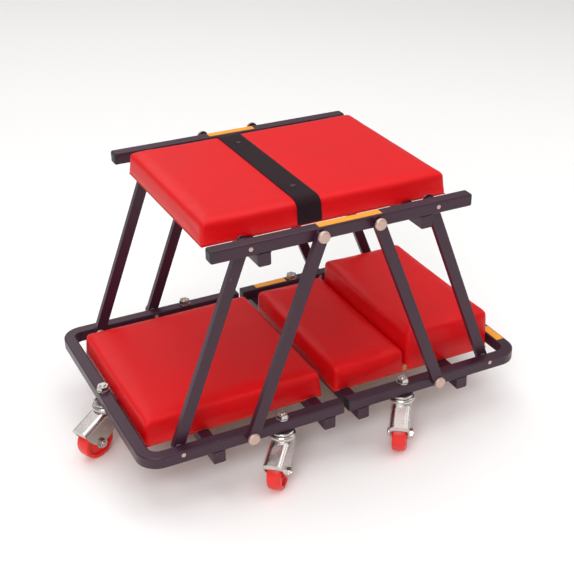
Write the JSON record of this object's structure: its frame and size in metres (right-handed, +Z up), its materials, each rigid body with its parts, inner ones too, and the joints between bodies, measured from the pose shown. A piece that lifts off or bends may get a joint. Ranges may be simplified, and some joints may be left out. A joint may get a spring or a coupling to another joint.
{
  "type": "folding mechanic's creeper seat",
  "caption": "Low wheeled creeper for working under a car: two padded base halves on swivel casters and a seat frame on hinged legs that stands up as a stool or drops flat between them.",
  "frame": {"origin": "on the floor under the middle of the creeper", "axes": "+X along the creeper towards the headrest, +Y across it away from the near rails, +Z up"},
  "size_m": [0.7364, 0.4972, 0.424],
  "materials": {
    "black_powder_coat": "satin powder coat",
    "red_vinyl": "upholstery vinyl, satin",
    "plywood": "raw plywood",
    "zinc_hardware": "bright zinc plate",
    "pivot_caps": "satin",
    "black_plastic": "moulded",
    "black_webbing": "woven polypropylene webbing",
    "yellow_label": "blank vinyl label",
    "bright_zinc": "bright plated steel",
    "red_polyurethane": "moulded polyurethane"
  },
  "bodies": {
    "base_left": {"left_frame_tube": "black_powder_coat", "left_outer_cross_tube": "black_powder_coat", "left_inner_cross_tube": "black_powder_coat", "left_board": "plywood", "left_pad": "red_vinyl", "left_board_screws": "zinc_hardware", "left_end_plugs": "black_plastic", "left_caster_stems": "zinc_hardware", "left_pivot_bolts": "pivot_caps"},
    "latch": {"latch_hook": "zinc_hardware"},
    "seat": {"seat_near_rail": "black_powder_coat", "seat_far_rail": "black_powder_coat", "seat_left_cross_tube": "black_powder_coat", "seat_right_cross_tube": "black_powder_coat", "seat_board": "plywood", "seat_pad": "red_vinyl", "seat_board_screws": "zinc_hardware", "seat_rail_caps": "black_plastic", "seat_pivot_bolts": "pivot_caps", "seat_strap": "black_webbing", "strap_rivets": "zinc_hardware", "seat_labels": "yellow_label"},
    "base_right": {"right_frame_tube": "black_powder_coat", "right_outer_cross_tube": "black_powder_coat", "right_inner_cross_tube": "black_powder_coat", "right_board": "plywood", "right_pad": "red_vinyl", "right_board_screws": "zinc_hardware", "right_end_plugs": "black_plastic", "right_caster_stems": "zinc_hardware", "right_pivot_bolts": "pivot_caps", "headrest": "red_vinyl", "right_labels": "yellow_label", "latch_peg": "zinc_hardware"},
    "left_inner_leg_near": {"left_inner_leg_near": "black_powder_coat"},
    "left_inner_leg_far": {"left_inner_leg_far": "black_powder_coat"},
    "left_outer_leg_near": {"left_outer_leg_near": "black_powder_coat"},
    "left_outer_leg_far": {"left_outer_leg_far": "black_powder_coat"},
    "right_inner_leg_near": {"right_inner_leg_near": "black_powder_coat"},
    "right_inner_leg_far": {"right_inner_leg_far": "black_powder_coat"},
    "right_outer_leg_near": {"right_outer_leg_near": "black_powder_coat"},
    "right_outer_leg_far": {"right_outer_leg_far": "black_powder_coat"},
    "left_near_caster": {"left_near_caster_fork": "bright_zinc", "left_near_caster_axle": "bright_zinc"},
    "left_near_wheel": {"left_near_caster_wheel": "red_polyurethane"},
    "left_end_caster": {"left_end_caster_fork": "bright_zinc", "left_end_caster_axle": "bright_zinc"},
    "left_end_wheel": {"left_end_caster_wheel": "red_polyurethane"},
    "left_far_caster": {"left_far_caster_fork": "bright_zinc", "left_far_caster_axle": "bright_zinc"},
    "left_far_wheel": {"left_far_caster_wheel": "red_polyurethane"},
    "right_near_caster": {"right_near_caster_fork": "bright_zinc", "right_near_caster_axle": "bright_zinc"},
    "right_near_wheel": {"right_near_caster_wheel": "red_polyurethane"},
    "right_end_caster": {"right_end_caster_fork": "bright_zinc", "right_end_caster_axle": "bright_zinc"},
    "right_end_wheel": {"right_end_caster_wheel": "red_polyurethane"},
    "right_far_caster": {"right_far_caster_fork": "bright_zinc", "right_far_caster_axle": "bright_zinc"},
    "right_far_wheel": {"right_far_caster_wheel": "red_polyurethane"}
  },
  "joints": [
    {"name": "seat_fold", "type": "hinge", "parent": "base_left", "child": "left_inner_leg_near", "pos_m": [-0.158, -0.20995, 0.099], "axis": [0, 1, 0], "range_deg": [0, 69]},
    {"name": "left_inner_leg_far_fold", "type": "hinge", "parent": "base_left", "child": "left_inner_leg_far", "pos_m": [-0.158, 0.20995, 0.099], "axis": [0, 1, 0], "range_deg": [0, 69]},
    {"name": "left_outer_leg_near_fold", "type": "hinge", "parent": "base_left", "child": "left_outer_leg_near", "pos_m": [-0.261, -0.17905, 0.099], "axis": [0, 1, 0], "range_deg": [0, 69]},
    {"name": "left_outer_leg_far_fold", "type": "hinge", "parent": "base_left", "child": "left_outer_leg_far", "pos_m": [-0.261, 0.17905, 0.099], "axis": [0, 1, 0], "range_deg": [0, 69]},
    {"name": "seat_level", "type": "hinge", "parent": "left_inner_leg_near", "child": "seat", "pos_m": [-0.0444, -0.20995, 0.39494], "axis": [0, 1, 0], "range_deg": [-69, 0]},
    {"name": "right_inner_leg_near_fold", "type": "hinge", "parent": "seat", "child": "right_inner_leg_near", "pos_m": [0.0444, -0.20995, 0.39494], "axis": [0, -1, 0], "range_deg": [0, 69]},
    {"name": "right_inner_leg_far_fold", "type": "hinge", "parent": "seat", "child": "right_inner_leg_far", "pos_m": [0.0444, 0.20995, 0.39494], "axis": [0, -1, 0], "range_deg": [0, 69]},
    {"name": "right_outer_leg_near_fold", "type": "hinge", "parent": "seat", "child": "right_outer_leg_near", "pos_m": [0.1474, -0.17905, 0.39494], "axis": [0, -1, 0], "range_deg": [0, 69]},
    {"name": "right_outer_leg_far_fold", "type": "hinge", "parent": "seat", "child": "right_outer_leg_far", "pos_m": [0.1474, 0.17905, 0.39494], "axis": [0, -1, 0], "range_deg": [0, 69]},
    {"name": "right_half_level", "type": "hinge", "parent": "right_inner_leg_near", "child": "base_right", "pos_m": [0.158, -0.20995, 0.099], "axis": [0, -1, 0], "range_deg": [-69, 0]},
    {"name": "latch_turn", "type": "hinge", "parent": "base_left", "child": "latch", "pos_m": [-0.029, -0.06, 0.067], "axis": [0, 0, 1], "range_deg": [0, 75]},
    {"name": "left_near_swivel", "type": "hinge", "parent": "base_left", "child": "left_near_caster", "pos_m": [-0.103, -0.1945, 0.086], "axis": [0, 0, 1], "continuous": true},
    {"name": "left_near_roll", "type": "hinge", "parent": "left_near_caster", "child": "left_near_wheel", "pos_m": [-0.1204, -0.21382, 0.0285], "axis": [0.7431, -0.6691, 0], "continuous": true},
    {"name": "left_end_swivel", "type": "hinge", "parent": "base_left", "child": "left_end_caster", "pos_m": [-0.3115, 0, 0.086], "axis": [0, 0, 1], "continuous": true},
    {"name": "left_end_roll", "type": "hinge", "parent": "left_end_caster", "child": "left_end_wheel", "pos_m": [-0.33506, -0.01099, 0.0285], "axis": [0.4226, -0.9063, 0], "continuous": true},
    {"name": "left_far_swivel", "type": "hinge", "parent": "base_left", "child": "left_far_caster", "pos_m": [-0.103, 0.1945, 0.086], "axis": [0, 0, 1], "continuous": true},
    {"name": "left_far_roll", "type": "hinge", "parent": "left_far_caster", "child": "left_far_wheel", "pos_m": [-0.08809, 0.2158, 0.0285], "axis": [-0.8192, 0.5736, 0], "continuous": true},
    {"name": "right_near_swivel", "type": "hinge", "parent": "base_right", "child": "right_near_caster", "pos_m": [0.103, -0.1945, 0.086], "axis": [0, 0, 1], "continuous": true},
    {"name": "right_near_roll", "type": "hinge", "parent": "right_near_caster", "child": "right_near_wheel", "pos_m": [0.08809, -0.2158, 0.0285], "axis": [0.8192, -0.5736, 0], "continuous": true},
    {"name": "right_end_swivel", "type": "hinge", "parent": "base_right", "child": "right_end_caster", "pos_m": [0.3115, 0, 0.086], "axis": [0, 0, 1], "continuous": true},
    {"name": "right_end_roll", "type": "hinge", "parent": "right_end_caster", "child": "right_end_wheel", "pos_m": [0.33506, 0.01099, 0.0285], "axis": [-0.4226, 0.9063, 0], "continuous": true},
    {"name": "right_far_swivel", "type": "hinge", "parent": "base_right", "child": "right_far_caster", "pos_m": [0.103, 0.1945, 0.086], "axis": [0, 0, 1], "continuous": true},
    {"name": "right_far_roll", "type": "hinge", "parent": "right_far_caster", "child": "right_far_wheel", "pos_m": [0.1204, 0.21382, 0.0285], "axis": [-0.7431, 0.6691, 0], "continuous": true}
  ],
  "couplings": [
    {"joint": "left_inner_leg_far_fold", "follows": "seat_fold", "ratio": 1},
    {"joint": "left_outer_leg_near_fold", "follows": "seat_fold", "ratio": 1},
    {"joint": "left_outer_leg_far_fold", "follows": "seat_fold", "ratio": 1},
    {"joint": "seat_level", "follows": "seat_fold", "ratio": -1},
    {"joint": "right_inner_leg_near_fold", "follows": "seat_fold", "ratio": 1},
    {"joint": "right_inner_leg_far_fold", "follows": "seat_fold", "ratio": 1},
    {"joint": "right_outer_leg_near_fold", "follows": "seat_fold", "ratio": 1},
    {"joint": "right_outer_leg_far_fold", "follows": "seat_fold", "ratio": 1},
    {"joint": "right_half_level", "follows": "seat_fold", "ratio": -1}
  ]
}
